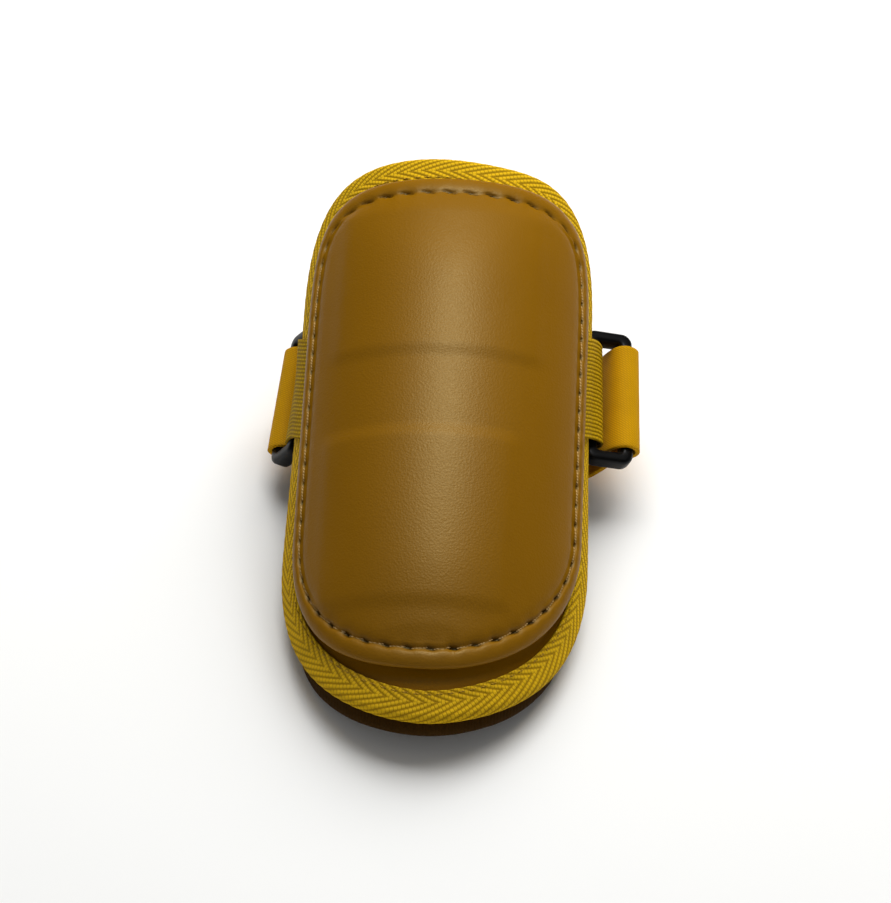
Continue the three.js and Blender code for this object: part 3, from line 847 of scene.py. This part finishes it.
def tab_path(side, across):
    """One thread of a tab: over the tape, round the inner bar and back behind the tape."""
    half = BASE_OUTLINE["half"]
    front = 2 * SEAT + TAPE_THICK + WEBBING_THICK / 2
    back = -BASE_THICK - 2 * SEAT - TAPE_THICK - WEBBING_THICK / 2
    radius = BAR_CLEAR + WEBBING_THICK / 2
    middle = side["place"] - side["slide"] + across
    bar = inner_bar(side, across - side["slide"])
    section = [arch_section(r, middle, front) for r in np.arange(TAB_START, half, TAB_FRONT_STEP)]
    for turn in np.radians(90 - side["hang"] - np.linspace(0, 180, TAB_TURNS + 1)):
        section.append(bar + radius * Vector((cos(turn), sin(turn))))
    section += [arch_section(r, middle, back) for r in np.arange(half - 1, TAB_END, -TAB_BACK_STEP)]
    route, distances = even_path(section, TAB_STATIONS)
    points = []
    for (x, z), turn in zip(route, np.linspace(0, pi, TAB_STATIONS)):
        along = middle - side["slant"] * max(cos(turn), 0) ** 2
        spot = Vector((side["mirror"] * x, along, z - bow_drop(along)))
        points.append(1000 * (PAD @ (spot / 1000)))
    return points, distances


def webbing_relief(along, across):
    """Height of the ribs, and of the beads along them, which are staggered from rib to rib."""
    rib = abs(sin(pi * across / WEBBING_RIB))
    row = int(across // WEBBING_RIB) % 2
    bead = 0.5 - 0.5 * cos(tau * (along / WEBBING_BEAD + row / 2))
    return RIB_RELIEF * rib + BEAD_RELIEF * rib * bead


webbing = yarn("nylon_webbing", "#8a6b00", "#c0990a", WEBBING_BEAD, WEBBING_RIB, 0, YARN_DEPTH)
for name, side in SIDES.items():
    tab = woven_band(
        f"ribbed_tab_{name}", TAB_STATIONS, TAB_COLUMNS, WEBBING_WIDTH, WEBBING_THICK - WEAVE_ROOM,
        lambda across: tab_path(side, across), webbing, webbing_relief,
    )
    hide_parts(f"webbing_tab_{name}")

# Rings: rectangular strap rings, injection moulded in black acetal, with rounded edges.
# The webbing holds the inner bar and the elastic strap runs over the outer one.
RING = {
    "length": 58.5, "slot": 48.6, "width": 20, "bar": 5, "thick": 7.5,
    "corner": 4.5, "slot_corner": 1.2, "edge": 1.8,
}
# Edges that turn by more than this are rounded
RING_SHARP = radians(60)
# From the middle of the inner bar to that of the outer one
RING_PITCH = RING["width"] - RING["bar"]


def ring_place(side):
    """Where a ring hangs: its inner bar on the origin and its outer bar out along +X."""
    bar = inner_bar(side, 0)
    tilt = side["tilt"] if side["mirror"] > 0 else 180 - side["tilt"]
    spot = Vector((side["mirror"] * bar.x, side["place"], bar.y - bow_drop(side["place"]))) / 1000
    yaw = Matrix.Rotation(radians(side["yaw"]), 4, "Z")
    bow = Matrix.Rotation(-side["place"] / BOW_RADIUS, 4, "X")
    return PAD @ Matrix.Translation(spot) @ (yaw @ bow) @ Matrix.Rotation(radians(tilt), 4, "Y")


# Sizes in mm of the moulded texture and of the smears in its shine, and the texture's depth
SPARK, SMEAR, SPARK_DEPTH = 0.5, 8, 0.1


def acetal(name, colour):
    """Moulded black acetal: dense colour, a fine spark-eroded texture of about 0.5 mm, and a satin
    shine that the texture breaks up."""
    material, tree = new_material(name)
    place = add_node(tree, "ShaderNodeTexCoord").outputs["Object"]
    spark = add_node(tree, "ShaderNodeTexNoise", {"Vector": place, "Scale": 1000 / SPARK, "Detail": 3})
    smears = add_node(tree, "ShaderNodeTexNoise", {"Vector": place, "Scale": 1000 / SMEAR, "Detail": 4})
    rough = add_node(tree, "ShaderNodeMapRange", {
        "Value": smears.outputs["Fac"], "To Min": 0.28, "To Max": 0.5,
    })
    bump = add_node(tree, "ShaderNodeBump", {
        "Height": spark.outputs["Fac"], "Strength": 0.15, "Distance": SPARK_DEPTH / 1000,
    })
    shader = add_node(tree, "ShaderNodeBsdfPrincipled", {
        "Base Color": linear(colour), "Roughness": rough.outputs[0], "Normal": bump.outputs[0],
        "IOR": 1.48, "Specular IOR Level": 0.15,
    })
    add_node(tree, "ShaderNodeOutputMaterial", {"Surface": shader.outputs[0]})
    return material


def moulded_ring(name, place, material):
    """A flat frame with round corners, raised to its thickness, with its edges rounded."""
    bm = bmesh.new()
    for width, length, corner in (
        (RING["width"], RING["length"], RING["corner"]),
        (RING_PITCH - RING["bar"], RING["slot"], RING["slot_corner"]),
    ):
        outline = bmesh.ops.create_grid(bm, x_segments=1, y_segments=1, size=0.5)["verts"]
        bmesh.ops.scale(bm, vec=(width, length, 1), verts=outline)
        bmesh.ops.bevel(
            bm, geom=outline, offset=corner, affect="VERTICES", segments=6, profile=0.5, material=-1,
        )
    bmesh.ops.delete(bm, geom=bm.faces[:], context="FACES_ONLY")
    bmesh.ops.bridge_loops(bm, edges=bm.edges[:])
    bmesh.ops.translate(bm, vec=(RING_PITCH / 2, 0, -RING["thick"] / 2), verts=bm.verts[:])
    lifted = bmesh.ops.extrude_face_region(bm, geom=bm.faces[:])["geom"]
    top = [part for part in lifted if isinstance(part, bmesh.types.BMVert)]
    bmesh.ops.translate(bm, vec=(0, 0, RING["thick"]), verts=top)
    bmesh.ops.recalc_face_normals(bm, faces=bm.faces)
    sharp = [edge for edge in bm.edges if edge.calc_face_angle(0) > RING_SHARP]
    bmesh.ops.bevel(
        bm, geom=sharp, offset=RING["edge"], affect="EDGES", segments=4, profile=0.5, material=-1,
    )
    bmesh.ops.scale(bm, vec=(0.001, 0.001, 0.001), verts=bm.verts[:])
    bmesh.ops.transform(bm, matrix=place, verts=bm.verts[:])
    bmesh.ops.recalc_face_normals(bm, faces=bm.faces)
    return new_piece(name, bm, material)


black_acetal = acetal("black_acetal", "#0a0a0a")
for name, side in SIDES.items():
    ring = moulded_ring(f"moulded_ring_{name}", ring_place(side), black_acetal)
    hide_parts(f"ring_{name}")

# Elastic strap: knitted elastic 45 mm wide and about 290 mm long. It comes up through each ring,
# over the outer bar and down, and lies flat on the table below the pad, with both ends tucked in.
STRAP_WIDTH = 45
ELASTIC_THICK = 1.8
STRAP_ROUNDING = 0.5
KNIT_BEAD, KNIT_RIB, KNIT_ANGLE, KNIT_DEPTH = 1.3, 0.9, radians(45), 0.05
STRAP_STATIONS, STRAP_COLUMNS = 300, 30
BEND_STEPS, BAR_STEPS = 14, 12
# The tucked end lies on the strap for one distance and rises to the bar over the next. The strap
# leaves the bar at an angle, and lands so far in from it
STRAP_TUCK = 20
STRAP_RISE = 30
STRAP_LEAVES = radians(-75)
STRAP_LAND = 23
# Height over which the strap turns from square across its bar to upright
STRAP_TWIST = 8
# How far the tucked layer runs on straight at the table and at the bar, as shares of its rise
STRAIGHT_AT_TABLE, STRAIGHT_AT_BAR = 0.55, 0.3


def bezier(points):
    """Places on a cubic curve from four points, without its first one."""
    a, b, c, d = (np.array(p) for p in points)
    return [
        a * (1 - t) ** 3 + 3 * b * t * (1 - t) ** 2 + 3 * c * t * t * (1 - t) + d * t ** 3
        for t in np.linspace(0, 1, BEND_STEPS + 1)[1:]
    ]


def strap_side(side, across):
    """One half of a thread in millimetres: from its tucked end, over the bar and down on the table."""
    sign = side["mirror"]
    bar = 1000 * (ring_place(side) @ (Vector((RING_PITCH, across, 0)) / 1000))
    radius = BAR_CLEAR + ELASTIC_THICK / 2
    flat = ELASTIC_THICK / 2
    tucked = flat + ELASTIC_THICK + SEAT
    leave = (radius * cos(STRAP_LEAVES), radius * sin(STRAP_LEAVES))
    ahead = STRAP_LAND / 3
    line = [(-STRAP_RISE - STRAP_TUCK, tucked), (-STRAP_RISE, tucked)]
    line += bezier([
        (-STRAP_RISE, tucked), (-STRAP_RISE * (1 - STRAIGHT_AT_TABLE), tucked),
        (-STRAP_RISE * STRAIGHT_AT_BAR, bar.z + radius), (0, bar.z + radius),
    ])
    line += [
        (radius * cos(turn), bar.z + radius * sin(turn))
        for turn in np.linspace(pi / 2, STRAP_LEAVES, BAR_STEPS + 1)[1:]
    ]
    line += bezier([
        (leave[0], bar.z + leave[1]),
        (leave[0] + ahead * sin(STRAP_LEAVES), bar.z + leave[1] - ahead * cos(STRAP_LEAVES)),
        (-STRAP_LAND / 2, flat), (-STRAP_LAND, flat),
    ])
    lean = tan(radians(LEAN)) * STRAP_TWIST
    return [(bar.x + sign * x, bar.y - lean * np.tanh((z - bar.z) / STRAP_TWIST), z) for x, z in line]


def strap_path(across):
    """One whole thread of the strap, no lower than the table lets it lie."""
    line = strap_side(SIDES["right"], across) + strap_side(SIDES["left"], across)[::-1]
    points, distances = even_path(line, STRAP_STATIONS)
    points[:, 2] = np.maximum(points[:, 2], ELASTIC_THICK / 2)
    return points, distances


elastic = yarn("knitted_elastic", "#b58400", "#cc9600", KNIT_BEAD, KNIT_RIB, KNIT_ANGLE, KNIT_DEPTH)
strap = woven_band(
    "elastic_loop", STRAP_STATIONS, STRAP_COLUMNS, STRAP_WIDTH, ELASTIC_THICK, strap_path, elastic,
)
rounded = strap.modifiers.new("edges", "BEVEL")
rounded.width = STRAP_ROUNDING / 1000
rounded.segments = 2
rounded.limit_method = "ANGLE"
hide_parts("elastic_strap")

# Studio: a plain pale table under a large soft light from above and behind with weak fill in front,
# and a small soft box overhead, which gives the long highlight down the middle of the shell.
TABLE_SIZE = 6
# The table's top is just under the guard, so that no two faces share a place
TABLE_DROP = 0.0003
LIGHTS_AIM = Vector((0, 0, 0.05))
WORLD_STRENGTH = 0.14
floor_bm = bmesh.new()
bmesh.ops.create_grid(floor_bm, x_segments=1, y_segments=1, size=TABLE_SIZE)
bmesh.ops.translate(floor_bm, vec=(0, 0, -TABLE_DROP), verts=floor_bm.verts[:])
floor_mesh = bpy.data.meshes.new("table")
floor_bm.to_mesh(floor_mesh)
floor_bm.free()
floor_material, floor_tree = new_material("pale_table")
floor_shader = add_node(floor_tree, "ShaderNodeBsdfPrincipled", {
    "Base Color": linear("#f2f2f0"), "Roughness": 0.9,
})
add_node(floor_tree, "ShaderNodeOutputMaterial", {"Surface": floor_shader.outputs[0]})
floor_mesh.materials.append(floor_material)
floor = bpy.data.objects.new("table", floor_mesh)
bpy.context.scene.collection.objects.link(floor)


def soft_box(name, place, width, depth, power, glint):
    """A rectangular light aimed at the guard, which either lights it or only gives it a glint."""
    lamp = bpy.data.lights.new(name, "AREA")
    lamp.shape = "RECTANGLE"
    lamp.size, lamp.size_y = width, depth
    lamp.energy = power
    light = bpy.data.objects.new(name, lamp)
    light.location = place
    light.rotation_euler = (LIGHTS_AIM - Vector(place)).to_track_quat("-Z", "Y").to_euler()
    light.visible_glossy, light.visible_diffuse = glint, not glint
    bpy.context.scene.collection.objects.link(light)


soft_box("canopy", (0.22, 1.1, 1.3), width=1.5, depth=1.5, power=51, glint=False)
soft_box("front", (0, -1.3, 0.6), width=1.4, depth=0.7, power=2, glint=False)
soft_box("highlight", (0.04, 0.14, 1.05), width=0.32, depth=0.36, power=12, glint=True)
world = bpy.context.scene.world or bpy.data.worlds.new("studio")
bpy.context.scene.world = world
world.use_nodes = True
background = world.node_tree.nodes["Background"]
background.inputs["Color"].default_value = (1, 1, 1, 1)
background.inputs["Strength"].default_value = WORLD_STRENGTH
world.cycles_visibility.glossy = False
bpy.context.scene.view_settings.view_transform = "Standard"

# Camera: where the photograph was taken from, worked out in the guard's own axes.
IMAGE = (891, 903)
VIEW = {"height": 66, "round": 4.92, "roll": -2.42, "away": 1249.45, "pixels_per_mm": 2.57}
VIEW_TARGET = Vector((2.56, -5.94, -15))
high, about, roll = radians(VIEW["height"]), radians(VIEW["round"]), radians(VIEW["roll"])
back = Vector((sin(about) * cos(high), -cos(about) * cos(high), sin(high)))
right = Vector((cos(about), sin(about), 0))
up = back.cross(right)
right, up = right * cos(roll) + up * sin(roll), up * cos(roll) - right * sin(roll)
camera_turn = Matrix((right, up, back)).transposed().to_4x4()
camera_data = bpy.data.cameras.new("camera")
camera_data.sensor_width = 36
camera_data.lens = VIEW["pixels_per_mm"] * VIEW["away"] / max(IMAGE) * camera_data.sensor_width
camera_data.clip_start = 0.01
camera = bpy.data.objects.new("camera", camera_data)
camera.matrix_world = PAD @ Matrix.Translation((VIEW_TARGET + back * VIEW["away"]) / 1000) @ camera_turn
bpy.context.scene.collection.objects.link(camera)
bpy.context.scene.camera = camera
